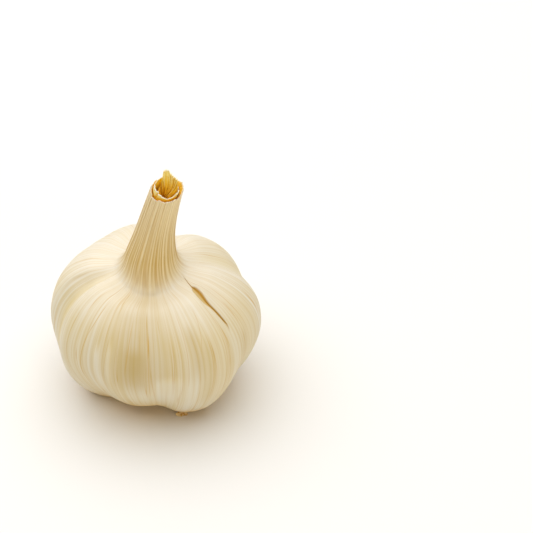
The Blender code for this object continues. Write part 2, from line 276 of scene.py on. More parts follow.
def warpToTear(azimuth, stations):
    # slides the columns beside the split sideways, so that its edges run along two of them
    step = 360.0 / skinMesh["cuts"]
    leftHome, rightHome = tear["leftColumn"] * step, tear["rightColumn"] * step
    table = np.array(tear["edges"])
    left, right = np.interp(stations, table[:, 0], table[:, 1]), np.interp(stations, table[:, 0], table[:, 2])
    start, end = tear["slide"]
    inSpan = smoothStep(start, stations) * (1 - smoothStep(end, stations))
    left, right = leftHome + (left - leftHome) * inSpan, rightHome + (right - rightHome) * inSpan
    share = (azimuth - leftHome) / (rightHome - leftHome)
    columns = tear["rightColumn"] - tear["leftColumn"]
    number = np.clip(np.rint(share * columns), 0, columns).astype(int)
    within = np.array([row[0] for row in tear["floor"]])[number]
    inside = (share > -0.01) & (share < 1.01)
    before = np.exp(-(np.minimum(degreesOff(azimuth, leftHome), 0.0) / tear["spread"]) ** 2)
    after = np.exp(-(np.maximum(degreesOff(azimuth, rightHome), 0.0) / tear["spread"]) ** 2)
    outsideShift = np.where(degreesOff(azimuth, leftHome) < 0, (left - leftHome) * before,
                            (right - rightHome) * after)
    warped = np.where(inside, left + (right - left) * within, azimuth + outsideShift)
    return warped, left, right, np.where(inside, within, -1.0)


def tearRelief(azimuth, stations, radius, left, right, within):
    start, end = tear["open"]
    opened = smoothStep(start, stations) * (1 - smoothStep(end, stations))
    width = (right - left) * np.radians(1.0) * radius
    wide = smoothStep(tear["openWidth"], width)
    table = np.array(tear["floor"])
    deep = np.interp(within, table[:, 0], table[:, 1])
    onFloor = (within > tear["bareShares"][0]) & (within < tear["bareShares"][1])
    narrow = tear["narrowDepth"]
    deep = np.where(onFloor, deep * (narrow + (1.0 - narrow) * wide), deep * wide)
    lipAway = degreesOff(azimuth, right) * np.radians(1.0) * radius
    leftAway = -degreesOff(azimuth, left) * np.radians(1.0) * radius
    lip = tear["floor"][-1][1] * wide * np.exp(-(lipAway / tear["lipWidth"]) ** 2) * (lipAway > 0)
    curlHeight, curlWidth = tear["curl"]
    curl = curlHeight * wide * np.exp(-(leftAway / curlWidth) ** 2) * (leftAway > 0)
    relief = np.where(within >= 0.0, deep, lip + curl)
    bare = np.where(onFloor, 1.0, 0.0) * opened
    # painted shadow: the floor beside the raised right lip, and the whole floor where the split is too narrow
    # to see into
    dark = np.where(onFloor, np.maximum(within > tear["shadowFrom"], 1.0 - wide), 0.0) * opened
    return relief * opened, bare, dark


def streaksAndShadeAt(azimuth, height):
    total = np.zeros_like(azimuth)
    footSpan, topSpan = np.array(skinMesh["streakAndShadeFoot"]), np.array(skinMesh["streakAndShadeTop"])
    for first, top, last, foot, width, strength in skinMesh["streaksAndShade"]:
        middle = first + (last - first) * np.clip((top - height) / (top - foot), 0.0, 1.0)
        ends = smoothStep(foot + footSpan, height) * (1.0 - smoothStep(top + topSpan, height))
        total += strength * hump(azimuth, middle, width) * ends
    return np.clip(total, -1.0, 1.0)


def meshOf(bm, name):
    mesh = bpy.data.meshes.new(name)
    bm.to_mesh(mesh)
    bm.free()
    return mesh


def readPoints(mesh):
    points = np.zeros(len(mesh.vertices) * 3)
    mesh.vertices.foreach_get("co", points)
    return points.reshape(-1, 3) / mm


def writePoints(mesh, points):
    mesh.vertices.foreach_set("co", (points * mm).astype(np.float32).ravel())
    mesh.update()


def rolledGrid(name, rings, cuts):
    # a flat grid to roll round an axis: each vertex's azimuth, and its number along the outline
    bm = bmesh.new()
    bmesh.ops.create_grid(bm, x_segments=cuts, y_segments=rings - 1, size=mm)
    mesh = meshOf(bm, name)
    flat = readPoints(mesh)
    return mesh, (flat[:, 0] + 1.0) * 180.0, np.rint((flat[:, 1] + 1.0) * 0.5 * (rings - 1)).astype(int)


def closeSeams(mesh):
    # joins the rolled grid's two sides and its poles, and turns its faces outward
    bm = bmesh.new()
    bm.from_mesh(mesh)
    bmesh.ops.remove_doubles(bm, verts=bm.verts, dist=0.0005 * mm)
    bmesh.ops.recalc_face_normals(bm, faces=bm.faces)
    bm.to_mesh(mesh)
    bm.free()


def writeValue(mesh, name, values):
    # one number or one vector for each vertex, for the material to read
    kind, field = ("FLOAT_VECTOR", "vector") if values.ndim == 2 else ("FLOAT", "value")
    mesh.attributes.new(name, kind, "POINT").data.foreach_set(field, values.astype(np.float32).ravel())


def writeGrain(mesh, azimuth, along):
    # the direction from the axis, and how far along the skin: what the veins' noise reads
    across = np.radians(azimuth)
    writeValue(mesh, "grain", np.stack([np.cos(across), np.sin(across), along], axis=1))


def addPiece(name, mesh, material, node):
    mesh.materials.clear()
    mesh.materials.append(material)
    mesh.shade_smooth()
    piece = bpy.data.objects.new(name, mesh)
    bpy.context.scene.collection.objects.link(piece)
    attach(piece, "root")
    if node:
        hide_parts(node)


# Colours and nodes
def hexColour(code):
    parts = [int(code[i:i + 2], 16) / 255.0 for i in (1, 3, 5)]
    return (*[p / 12.92 if p <= 0.04045 else ((p + 0.055) / 1.055) ** 2.4 for p in parts], 1.0)


def addNode(tree, kind, *values, **settings):
    # adds a node, gives its live inputs the values in turn, and hands back its first live output
    made = tree.nodes.new("ShaderNode" + kind)
    for name, value in settings.items():
        setattr(made, name, value)
    for socket, value in zip([item for item in made.inputs if item.enabled], values):
        if isinstance(value, bpy.types.NodeSocket):
            tree.links.new(value, socket)
        elif value is not None:
            socket.default_value = value
    return [item for item in made.outputs if item.enabled][0]


def startMaterial(name, roughness, specular=0.4, sheen=0.0, glow=0.0):
    material = bpy.data.materials.new(name)
    material.use_nodes = True
    tree = material.node_tree
    shader = tree.nodes["Principled BSDF"]
    shader.inputs["Roughness"].default_value = roughness
    shader.inputs["Specular IOR Level"].default_value = specular
    shader.inputs["Sheen Weight"].default_value = sheen
    # thin dry leaf lets light through for about a millimetre
    shader.inputs["Subsurface Weight"].default_value = glow
    shader.inputs["Subsurface Radius"].default_value = (1.0, 0.75, 0.3)
    shader.inputs["Subsurface Scale"].default_value = mm
    return material, tree, shader


# Dry garlic skin: a papery, silky leaf sheath with long veins that gather into the neck.
# It gives the eye fine parallel lines in cream, straw and tan, with a soft broad shine.
skinLook = {
    "cream": "#e1d2ae",
    "white": "#e6e0d0",
    # shoulder: pale colour laid on the top as a painted highlight, and towards the foot as painted light from
    # the floor
    "shoulder": "#e8e0d0",
    # under: warm gold for downward-facing skin, painted shade whose bounce also warms the floor's contact
    # shadow
    "under": "#e6b648",
    "straw": "#d2be82",
    "tan": "#bea25c",
    "line": "#cba24a",
    "hair": "#d4bd82",
    "neckRidge": "#efdcae",
    "neckGroove": "#ccac62",
    "neckLine": "#ba8e34",
    "neckPale": "#f0dfb6",
    "underSkin": "#d0b67a",
    "crevice": "#b3831a",
    "mouthInside": "#f4c436",
    "roughness": 0.5,
    "roughSway": (-0.08, 0.1),
    # noise patterns: one cell's width round the belly and its length along the skin, a seed, and detail
    "patterns": {"bands": (6.0, 90.0, 3.1, 2.0), "soft": (1.7, 70.0, 9.4, 2.0),
                 "hairs": (0.75, 50.0, 28.3, 2.0), "patches": (9.0, 14.0, 41.0, 3.0),
                 "fades": (2.6, 17.0, 55.0, 2.0), "lines": (2.3, 120.0, 17.7, 1.0),
                 "neckLines": (6.0, 80.0, 71.0, 1.0), "neckSoft": (4.6, 60.0, 83.0, 2.0)},
    "lineWidth": 0.015,
    "neckLineWidth": 0.06,
    # a value's start and end, with the share at both where those aren't 0 and 1
    "spans": {"fades": (0.36, 0.6, 0.0, 0.75), "straw": (0.4, 0.72), "patches": (0.35, 0.7, 0.12, 0.5),
              "ridge": (0.0, 0.9, 0.0, 0.85), "groove": (-0.2, -0.9, 0.0, 0.75), "rough": (0.3, 0.7)},
    # colours laid over one another in turn: the value that drives each, its colour's name, and the values
    # where it starts and is full with its share at both, where those aren't 0 and 1
    "neckLayers": [("neckSoft", "neckRidge", 0.3, 0.7, 0.0, 0.45), ("ridge", "neckRidge"),
                   ("groove", "neckLine"), ("level", "neckPale", 50.0, 71.0, 0.0, 0.6),
                   ("level", "neckPale", 49.0, 43.0, 0.0, 0.45),
                   ("neckLines", "neckLine", 0.0, 1.0, 0.0, 0.55)],
    # the level layers with the shoulder colour paint light: a painted highlight over the top of the
    # shoulders, and painted light from the floor towards the foot
    "layers": [("bands", "white", 0.35, 0.65, 0.1, 0.9), ("level", "shoulder", 34.0, 41.0, 0.0, 0.6),
               ("level", "shoulder", 14.0, 3.0, 0.0, 0.5), ("straw", "straw"),
               ("hairs", "hair", 0.4, 0.6, 0.0, 0.5), ("level", "shoulder", 35.0, 42.0, 0.0, 0.4),
               ("lines", "line"), ("ridge", "white", 0.0, 1.0, 0.0, 0.12),
               # the last layer here paints skin sunk into hollows, between cloves and along grooves, straw:
               # painted shade
               ("groove", "line", 0.0, 1.0, 0.0, 0.28), ("valley", "straw", 0.0, 1.0, 0.0, 0.3),
               # tan and whitish bands, with the painted shade over the front middle
               ("streak", "tan", 0.0, 1.0), ("streak", "white", 0.0, -1.0), ("veins", "line"),
               # the split's bare under-skin, then its painted shadow
               ("neck", "neck"), ("bare", "underSkin"), ("dark", "crevice"),
               # downward-facing skin is painted warm gold: painted shade, whose bounce also warms the floor's
               # contact shadow
               ("facing", "under", -0.55, -0.85, 0.0, 0.9), ("inside", "mouthInside")],
    # the bump: share of the soft bands and hairs, depth of the lines, strength and height
    "relief": (0.6, -0.25, 0.35, 0.08),
    # single veins: azimuth and height of the top, the same of the foot, half width in degrees, share of tan
    "veins": [(231.5, 41, 227.5, 33, 0.5, 0.7), (227.5, 34, 224.0, 17, 0.45, 0.7),
              (257.5, 39, 254.8, 26, 0.5, 0.6), (268.5, 37, 268.0, 31, 0.75, 1.0),
              (268.1, 32, 268.0, 16, 0.35, 0.6), (263.2, 38, 263.0, 32, 0.4, 0.4),
              (243.0, 35, 242.0, 23, 0.35, 0.45), (278.0, 40.5, 276.0, 38, 0.4, 0.35),
              (291.0, 41, 289.5, 21, 0.4, 0.45), (305.0, 41, 298.5, 32, 0.4, 0.4),
              (304.0, 34, 303.0, 13, 0.4, 0.4), (313.0, 34, 311.0, 12, 0.4, 0.35),
              (330.0, 30, 327.0, 12, 0.5, 0.4), (215.0, 37, 213.0, 16, 0.4, 0.4),
              (97.0, 38, 99.0, 14, 0.6, 0.7), (40.0, 38, 38.0, 14, 0.5, 0.5),
              (142.0, 38, 140.0, 14, 0.5, 0.5)],
    # how far from its foot and its top a vein fades, from nothing to full
    "veinFoot": (-1.0, 2.5),
    "veinTop": (0.5, -1.5),
}


def grainNoise(tree, grain, spacing, along, seed, detail=2.0):
    # one noise cell for each spacing round the belly, drawn out along the veins
    around = bellyRadius / spacing
    shift = (seed, seed * 0.7, seed * 1.3)
    place = addNode(tree, "Mapping", grain, shift, None, (around, around, 1.0 / along))
    return addNode(tree, "TexNoise", place, 1.0, detail, 0.55)


def nearShare(tree, value, middle, width, most=1.0):
    # most where the value meets the middle, and nothing a width away
    away = addNode(tree, "Math", value, middle, operation="SUBTRACT")
    away = addNode(tree, "Math", away, operation="ABSOLUTE")
    return addNode(tree, "MapRange", away, 0.0, width, most, 0.0)


def paintLayers(tree, colour, layers, drivers, colours):
    # lays each colour over those before it, by the share that its driver gives
    for driver, name, *span in layers:
        share = addNode(tree, "MapRange", drivers[driver], *span) if span else drivers[driver]
        colour = addNode(tree, "Mix", share, colour, colours[name], data_type="RGBA")
    return colour


def singleVeins(tree, grain, level):
    # each vein is darkest along its middle and fades to its sides and ends
    split = addNode(tree, "SeparateXYZ", grain).node.outputs
    azimuth = addNode(tree, "Math", split[1], split[0], operation="ARCTAN2")
    azimuth = addNode(tree, "Math", azimuth, operation="DEGREES")
    total = 0.0
    for first, top, last, foot, width, share in skinLook["veins"]:
        middle = addNode(tree, "MapRange", level, foot, top, degreesOff(last, 0.0), degreesOff(first, 0.0))
        vein = nearShare(tree, azimuth, middle, width, share)
        for end, (none, full) in ((foot, skinLook["veinFoot"]), (top, skinLook["veinTop"])):
            fade = addNode(tree, "MapRange", level, end + none, end + full)
            vein = addNode(tree, "Math", vein, fade, operation="MULTIPLY")
        total = addNode(tree, "Math", total, vein, operation="MAXIMUM")
    return total


def skinMaterial():
    look = skinLook
    spans = look["spans"]
    material, tree, shader = startMaterial("dryGarlicSkin", look["roughness"], specular=0.35, sheen=0.05)
    drive = {name: addNode(tree, "Attribute", attribute_name=name).node.outputs["Fac"]
             for name in ("neck", "valley", "bare", "dark", "inside", "ribTone", "streak", "level")}
    grain = addNode(tree, "Attribute", attribute_name="grain").node.outputs["Vector"]
    for name, values in look["patterns"].items():
        drive[name] = grainNoise(tree, grain, *values)
    soft, hairs = drive["soft"], drive["hairs"]
    # the fine lines come and go, and straw lies in patches
    fades = addNode(tree, "MapRange", drive["fades"], *spans["fades"])
    lines = nearShare(tree, drive["lines"], 0.5, look["lineWidth"])
    lines = drive["lines"] = addNode(tree, "Math", lines, fades, operation="MULTIPLY")
    strawy = addNode(tree, "MapRange", soft, *spans["straw"])
    patches = addNode(tree, "MapRange", drive["patches"], *spans["patches"])
    drive["straw"] = addNode(tree, "Math", strawy, patches, operation="MULTIPLY")
    drive["neckLines"] = nearShare(tree, drive["neckLines"], 0.5, look["neckLineWidth"])
    # the neck's ribs are pale on top and tan in their grooves
    drive["ridge"] = addNode(tree, "MapRange", drive["ribTone"], *spans["ridge"])
    drive["groove"] = addNode(tree, "MapRange", drive["ribTone"], *spans["groove"])
    # the normal's height picks out downward-facing skin for its painted warm shade
    normal = addNode(tree, "NewGeometry").node.outputs["Normal"]
    drive["facing"] = addNode(tree, "SeparateXYZ", normal).node.outputs["Z"]
    drive["veins"] = singleVeins(tree, grain, drive["level"])
    colours = {name: hexColour(code) for name, code in look.items() if isinstance(code, str)}
    colours["neck"] = paintLayers(tree, colours["neckGroove"], look["neckLayers"], drive, colours)
    colour = paintLayers(tree, colours["cream"], look["layers"], drive, colours)
    tree.links.new(colour, shader.inputs["Base Color"])
    smoothest, roughest = (look["roughness"] + sway for sway in look["roughSway"])
    rough = addNode(tree, "MapRange", soft, *spans["rough"], smoothest, roughest)
    tree.links.new(rough, shader.inputs["Roughness"])
    share, lineDepth, strength, depth = look["relief"]
    height = addNode(tree, "Math", soft, hairs, operation="ADD")
    height = addNode(tree, "Math", height, share, operation="MULTIPLY")
    height = addNode(tree, "Math", lines, lineDepth, height, operation="MULTIPLY_ADD")
    tree.links.new(addNode(tree, "Bump", strength, depth * mm, None, height), shader.inputs["Normal"])
    return material


def buildBulb():
    form, fine = bulbForm, skinMesh
    stations = np.arange(fine["steps"] * (len(form["outline"]) - 1) + 1) / fine["steps"]
    outline = outlineAt(stations)
    mouth = [(radius, form["neckTop"] - under) for radius, under in mouthForm["points"]]
    profile = np.vstack([outline, mouth])
    mesh, azimuth, ring = rolledGrid("bulbSkin", len(profile), fine["cuts"])
    radius, height = profile[ring, 0], profile[ring, 1]
    onSkin = ring < len(stations)
    station = stations[np.minimum(ring, len(stations) - 1)]
    lengths = np.concatenate([[0.0], np.cumsum(np.linalg.norm(np.diff(profile, axis=0), axis=1))])
    along = lengths[ring]
    azimuth, left, right, within = warpToTear(azimuth, station)
    base = outlineAt(station)
    out = outwardAt(station)
    neck = neckShare(base[:, 0], base[:, 1])
    push = swellAt(azimuth, base[:, 0], base[:, 1])
    waves = {name: ringNoise(azimuth, along, *values) for name, values in fine["waves"].items()}
    wander = fine["ribWander"] * waves["wander"]
    rib = fine["ribShare"] * ribAt(azimuth + wander * neck, base[:, 0], base[:, 1])
    push += rib * (1.0 + fine["ribVary"] * waves["ribs"])
    push += fine["fold"] * waves["folds"] * smoothStep(fine["foldStart"], base[:, 0])
    push += fine["fineRidge"] * waves["ridges"] * neck
    relief, bare, dark = tearRelief(azimuth, station, base[:, 0], left, right, within)
    push += relief
    overRim = np.zeros(len(profile))
    overRim[:len(stations)] = 1.0
    overRim[len(stations):len(stations) + len(mouthForm["pushShares"])] = mouthForm["pushShares"]
    push *= overRim[ring]
    further, lower = footShift(azimuth, base[:, 0], base[:, 1])
    flatRadius = np.where(onSkin, base[:, 0] + out[:, 0] * push + further, radius + push)
    flatHeight = np.where(onSkin, np.maximum(base[:, 1] + out[:, 1] * push + lower, 0.0), height)
    rag = mouthForm["rag"] * ringNoise(azimuth, 0.0 * along, *mouthForm["ragWaves"])
    edge = smoothStep((form["neckTop"] - mouthForm["ragDepth"], form["neckTop"]), flatHeight)
    flatHeight = flatHeight + rimWaveAt(azimuth, flatHeight) + rag * edge
    x, y = turned(azimuth, flatRadius)
    writePoints(mesh, leaned(x, y, flatHeight))
    writeGrain(mesh, azimuth, along)
    toneEnd = (1.0 - smoothStep(fine["neckTone"], base[:, 0])) * (height > bellyHeight)
    writeValue(mesh, "neck", toneEnd * onSkin)
    # painted shade: the deeper the skin sinks in, the more straw it is painted
    writeValue(mesh, "valley", np.clip(-push / fine["hollowShadeDepth"], 0.0, 1.0) * onSkin)
    writeValue(mesh, "bare", bare)
    # where the split's painted shadow lies
    writeValue(mesh, "dark", dark)
    writeValue(mesh, "inside", np.where(onSkin, 0.0, 1.0 - smoothStep(mouthForm["insideRim"], radius)))
    sway = fine["toneSway"] * waves["sway"]
    tone = np.cos(np.radians(fine["toneRibs"] * (azimuth + fine["toneWander"] * wander)) + sway)
    tone *= 1.0 - fine["toneVary"] + fine["toneVary"] * waves["tone"]
    fadeOut = (1.0 - smoothStep(fine["toneRim"], base[:, 0])) * (base[:, 1] > bellyHeight)
    writeValue(mesh, "ribTone", tone * fadeOut)
    # tan and whitish bands, and the band of painted shade
    writeValue(mesh, "streak", streaksAndShadeAt(azimuth, flatHeight) * onSkin)
    writeValue(mesh, "level", flatHeight)
    closeSeams(mesh)
    return mesh


bulbMesh = buildBulb()
# the part's own box says where the bulb's middle is
low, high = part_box("bulb")
corners = readPoints(bulbMesh) * mm
ownMiddle = 0.5 * (corners.min(axis=0) + corners.max(axis=0))
homeShift = Vector((0.5 * (low.x + high.x) - ownMiddle[0], 0.5 * (low.y + high.y) - ownMiddle[1], 0.0))
bulbMesh.transform(Matrix.Translation(homeShift))
addPiece("bulbSkin", bulbMesh, skinMaterial(), "bulb")
print("bulb skin:", len(bulbMesh.vertices), "vertices, moved by", [round(v / mm, 3) for v in homeShift], "mm")


# Torn end of the inner sheath: a golden papery tube with a thin pale edge, notched at the front.
sheathForm = {
    "radius": 3.45,
    "wall": 0.45,
    "edgeWall": 0.16,
    "floor": 64.8,
    "cuts": 240,
    "rings": 30,
    # azimuth, height over the mouth
    "edge": [(0, -0.2), (12, -0.3), (30, 0.2), (60, 0.9), (95, 1.3), (108, 1.6), (118, 1.9), (134, 2.1),
             (150, 2.2), (180, 2.27), (213, 2.06), (228, 1.46), (246, 1.4), (262, 0.85), (275, 0.36),
             (287, 0.55), (302, 1.0), (312, 1.55), (332, 1.45), (343, 1.1), (350, 0.5), (360, -0.2)],
    "rag": 0.08,
    "ragWaves": ((19, 27, 37, 47), 21),
    # rings lie closer together towards the edge
    "climbPower": 0.6,
    # depths under the edge over which the wall thins, and over which it closes
    "thinning": (0.0, 3.0),
    "closing": (-0.02, 0.12),
    "wideUp": 0.42,
    # azimuth, half width and how far the top stands out
    "flares": [(190.0, 34.0, 0.15), (10.0, 26.0, -0.15), (222.0, 5.0, -0.45), (338.0, 6.0, -0.3)],
    "flareStart": (70.0, 73.2),
    "ruffle": 0.09,
    "ruffleWaves": ((9, 14, 22), 23),
    "ruffleStart": (71.0, 73.0),
}
sheathLook = {
    "outer": "#f5dc92",
    "speck": "#e8c05a",
    "edge": "#fff8e0",
    "inner": "#fbd23e",
    "deep": "#f4c02c",
    "low": "#f2c440",
    "roughness": 0.5,
    "glow": 0.4,
    "specks": (1.6, 5.0, 5.2),
    "layers": [("specks", "speck", 0.42, 0.66), ("low", "low"), ("inside", "inner"), ("deep", "deep"),
               ("edge", "edge")],
    # depths under the edge over which the inside's and the deep colour come in, and the pale edge ends
    "insideFrom": (0.1, 0.6),
    "deepFrom": (1.2, 3.4),
    "deepShare": 0.85,
    "edgeWidth": (0.12, 0.5),
    "lowEnd": (71.9, 72.9),
}


def sheathMaterial():
    look = sheathLook
    material, tree, shader = startMaterial("dryInnerSheath", look["roughness"], 0.35, glow=look["glow"])
    drive = {name: addNode(tree, "Attribute", attribute_name=name).node.outputs["Fac"]
             for name in ("inside", "edge", "deep", "low")}
    grain = addNode(tree, "Attribute", attribute_name="grain").node.outputs["Vector"]
    drive["specks"] = grainNoise(tree, grain, *look["specks"])
    colours = {name: hexColour(code) for name, code in look.items() if isinstance(code, str)}
    colour = paintLayers(tree, colours["outer"], look["layers"], drive, colours)
    tree.links.new(colour, shader.inputs["Base Color"])
    return material


def buildInnerSheath():
    form = sheathForm
    half = form["rings"]
    # up the outside, over the edge, down the inside, and across the floor to the start
    count = 2 * half + 1
    mesh, azimuth, ring = rolledGrid("innerSheath", count, form["cuts"])
    climb = (1.0 - np.abs(ring - half) / half) ** form["climbPower"]
    inner = ring > half
    edge = np.array(form["edge"], dtype=float)
    top = bulbForm["neckTop"] + np.interp(azimuth % 360.0, edge[:, 0], edge[:, 1])
    top += form["rag"] * ringNoise(azimuth, 0.0 * azimuth, *form["ragWaves"])
    height = form["floor"] + (top - form["floor"]) * climb
    under = top - height
    wall = form["edgeWall"] + (form["wall"] - form["edgeWall"]) * smoothStep(form["thinning"], under)
    wall = wall * smoothStep(form["closing"], under)
    radius = form["radius"] - 0.5 * form["wall"] + np.where(inner, -0.5, 0.5) * wall
    stand = sum(far * hump(azimuth, middle, width) for middle, width, far in form["flares"])
    radius += (stand + form["wideUp"]) * smoothStep(form["flareStart"], height)
    ruffle = ringNoise(azimuth, height, *form["ruffleWaves"])
    radius += form["ruffle"] * ruffle * smoothStep(form["ruffleStart"], height)
    x, y = turned(azimuth, radius)
    writePoints(mesh, leaned(x, y, height) + np.array(homeShift) / mm)
    writeGrain(mesh, azimuth, height)
    look = sheathLook
    writeValue(mesh, "inside", np.where(inner, smoothStep(look["insideFrom"], under), 0.0))
    writeValue(mesh, "deep", np.where(inner, look["deepShare"] * smoothStep(look["deepFrom"], under), 0.0))
    writeValue(mesh, "low", 1.0 - smoothStep(look["lowEnd"], height))
    writeValue(mesh, "edge", 1.0 - smoothStep(look["edgeWidth"], under))
    closeSeams(mesh)
    return mesh


addPiece("innerSheath", buildInnerSheath(), sheathMaterial(), "inner_sheath")
print("inner sheath built")


# Old dry stalk: a broken, scooped core of stiff fibres, dark orange below and pale at its tip.
coreForm = {
    "body": 2.35,
    "floor": 64.8,
    "cuts": 120,
    "fibres": 520,
    "fibreRadius": (0.055, 0.14),
    # azimuth, radius and height over the mouth of the broken edge
    "edge": [(0, 3.2, 1.0), (6, 3.4, 1.9), (20, 3.35, 2.9), (38, 3.0, 3.1), (46, 2.8, 3.4), (58, 2.65, 3.8),
             (74, 2.55, 4.7), (84, 2.5, 5.6), (110, 2.5, 5.6), (118, 2.5, 4.9), (126, 2.5, 2.4),
             (136, 2.55, 0.7), (148, 2.6, -0.1), (165, 2.6, -0.7), (185, 2.6, -1.3), (230, 2.6, -2.0),
             (300, 2.6, -2.0), (345, 2.8, -0.6), (360, 3.2, 1.0)],
    "deepest": -3.3,
    "cup": 1.8,
    "under": 0.5,
    "shoulderDown": 4.5,
    "inset": 0.2,
    # the core's unevenness, as a share of its radius
    "uneven": 0.02,
    "unevenWaves": ((9, 13, 18), 31),
    # paleness of the core's foot, how much more its top has, and the heights between
    "corePale": (0.05, 0.6),
    "corePaleRise": (69.0, 77.0),
    # how much straighter than the neck the tip stands
    "straighten": 0.26,
    # single fibres that stand clear: azimuth, height over the mouth
    "loose": [(56.0, 4.9), (30.0, 3.6), (118.0, 5.4)],
    # most of the fibres stand at the back, where the stalk broke off highest
    "back": (-20.0, 170.0),
    "front": (170.0, 340.0),
    "backShare": 0.82,
    # how far the lowest layer of fibres ends under the edge, and lies in from it
    "layerDown": 1.3,
    "layerIn": 0.3,
    "fibreIn": 0.12,
    "endVary": (-0.35, 0.25),
    "wander": 15.0,
    "wanderTurns": 3.0,
    "liftMost": 0.22,
    "startMost": 0.5,
    # places along a fibre, and its thickness at each
    "steps": (0.16, 0.3, 0.44, 0.58, 0.7, 0.8, 0.9, 1.0),
    "taper": (0.6, 0.9, 1.0, 1.0, 0.95, 0.85, 0.65, 0.3),
    "sides": 6,
    # paleness: how much it varies, the paler side and by how much, where it starts and over what height
    "toneVary": 0.6,
    "paleSide": (30.0, 0.12),
    "paleStart": 69.3,
    "paleHeight": 8.5,
    "seed": 11,
}
coreLook = {"deep": "#c88c12", "orange": "#f8c828", "gold": "#ffda4c", "pale": "#ffec98", "roughness": 0.55,
            # where orange and gold lie between the deepest colour and the palest
            "stops": (0.33, 0.66)}


def coreEdge(azimuth):
    table = np.array(coreForm["edge"], dtype=float)
    turn = np.asarray(azimuth) % 360.0
    return np.interp(turn, table[:, 0], table[:, 1]), np.interp(turn, table[:, 0], table[:, 2])


def cupHeight(edge, share):
    form = coreForm
    return bulbForm["neckTop"] + form["deepest"] + (edge - form["deepest"]) * share ** form["cup"]


def coreLeaned(x, y, height):
    return leaned(x - coreForm["straighten"] * np.maximum(height - bulbForm["neckTop"], 0.0), y, height)


def addStrand(bm, points, radii, sides, values):
    # a round closed strand along the points, with the values written to its vertices' layers
    rings = len(points) + 2
    made = bmesh.ops.create_grid(bm, x_segments=sides, y_segments=rings - 1, size=1.0)["verts"]
    path = [points[0]] + points + [points[-1]]
    sizes = [0.0] + list(radii) + [0.0]
    # a direction that no strand follows, to turn each ring from
    across = Vector((0.31, 0.95, 0.07))
    for vert in made:
        ring = round((vert.co.y + 1.0) * 0.5 * (rings - 1))
        turn = (vert.co.x + 1.0) * math.pi
        ahead = (path[min(ring + 1, rings - 1)] - path[max(ring - 1, 0)]).normalized()
        side = ahead.cross(across).normalized()
        vert.co = path[ring] + sizes[ring] * (math.cos(turn) * side + math.sin(turn) * ahead.cross(side))
        for layer, value in values.items():
            vert[layer] = value(ring / (rings - 1), vert.co)


def fibreMaterial():
    look = coreLook
    material, tree, shader = startMaterial("dryStalkFibre", look["roughness"], specular=0.3)
    paleness = addNode(tree, "Attribute", attribute_name="paleness").node.outputs["Fac"]
    colour = addNode(tree, "ValToRGB", paleness)
    stops = colour.node.color_ramp.elements
    stops[0].position, stops[0].color = 0.0, hexColour(look["deep"])
    stops[1].position, stops[1].color = 1.0, hexColour(look["pale"])
    for place, name in zip(look["stops"], ("orange", "gold")):
        stops.new(place).color = hexColour(look[name])
    tree.links.new(colour, shader.inputs["Base Color"])
    return material


def buildCore():
    form = coreForm
    neckTop = bulbForm["neckTop"]
    # up the side, then in across the cup from its rim to its middle
    shares = [1.0, 0.95, 0.88, 0.8, 0.7, 0.6, 0.5, 0.4, 0.3, 0.2, 0.1, 0.0]
    body, floor = form["body"], form["floor"]
    side = [(0.0, floor), (body, floor), (body, neckTop - form["shoulderDown"])]
    profile = np.array(side + [(body * share, neckTop) for share in shares])
    mesh, azimuth, ring = rolledGrid("stalkCore", len(profile), form["cuts"])
    radius, height = profile[ring, 0], profile[ring, 1]
    reach, edge = coreEdge(azimuth)
    scoop = radius / body
    inCup = ring >= len(side)
    height = np.where(inCup, cupHeight(edge, scoop) - form["under"] * scoop, height)
    uneven = 1.0 + form["uneven"] * ringNoise(azimuth, height, *form["unevenWaves"])
    radius = np.where(inCup, scoop * (reach - form["inset"]) * uneven, radius)
    x, y = turned(azimuth, radius)
    writePoints(mesh, coreLeaned(x, y, height))
    foot, rise = form["corePale"]
    writeValue(mesh, "paleness", foot + rise * smoothStep(form["corePaleRise"], height))
    closeSeams(mesh)
    bm = bmesh.new()
    bm.from_mesh(mesh)
    layer = bm.verts.layers.float["paleness"]
    draw = random.Random(form["seed"])
    for number in range(form["fibres"]):
        span = form["back"] if draw.random() < form["backShare"] else form["front"]
        azimuth = draw.uniform(*span)
        reach, edge = (float(value) for value in coreEdge(azimuth))
        down = draw.random() ** 2
        thick = draw.uniform(*form["fibreRadius"])
        end = edge - form["layerDown"] * down + draw.uniform(*form["endVary"])
        if number < len(form["loose"]):
            azimuth, end = form["loose"][number]
            down = 0.0
        wander = draw.uniform(-form["wander"], form["wander"])
        lift = draw.uniform(0.0, form["liftMost"])
        first = draw.uniform(0.0, form["startMost"])
        spots = []
        for step in form["steps"]:
            share = first + (1.0 - first) * step
            turn = azimuth + wander * math.sin(form["wanderTurns"] * share)
            x, y = turned(turn, (reach - form["fibreIn"] - form["layerIn"] * down) * share)
            place = coreLeaned(np.array([x]), np.array([y]), np.array([cupHeight(end, share) + lift]))[0]
            spots.append(Vector(place) * mm)
        radii = [thick * mm * size for size in form["taper"]]
        paleAt, paler = form["paleSide"]
        tone = draw.uniform(-form["toneVary"], form["toneVary"])
        tone += paler * math.cos(math.radians(azimuth - paleAt))
        addStrand(bm, spots, radii, form["sides"], {layer: lambda share, place: min(max(
            (place.z / mm - form["paleStart"]) / form["paleHeight"] + tone, 0.0), 1.0)})
    bm.to_mesh(mesh)
    bm.free()
    closeSeams(mesh)
    mesh.transform(Matrix.Translation(homeShift))
    return mesh


addPiece("stalkCore", buildCore(), fibreMaterial(), "neck_core")
print("stalk core built")


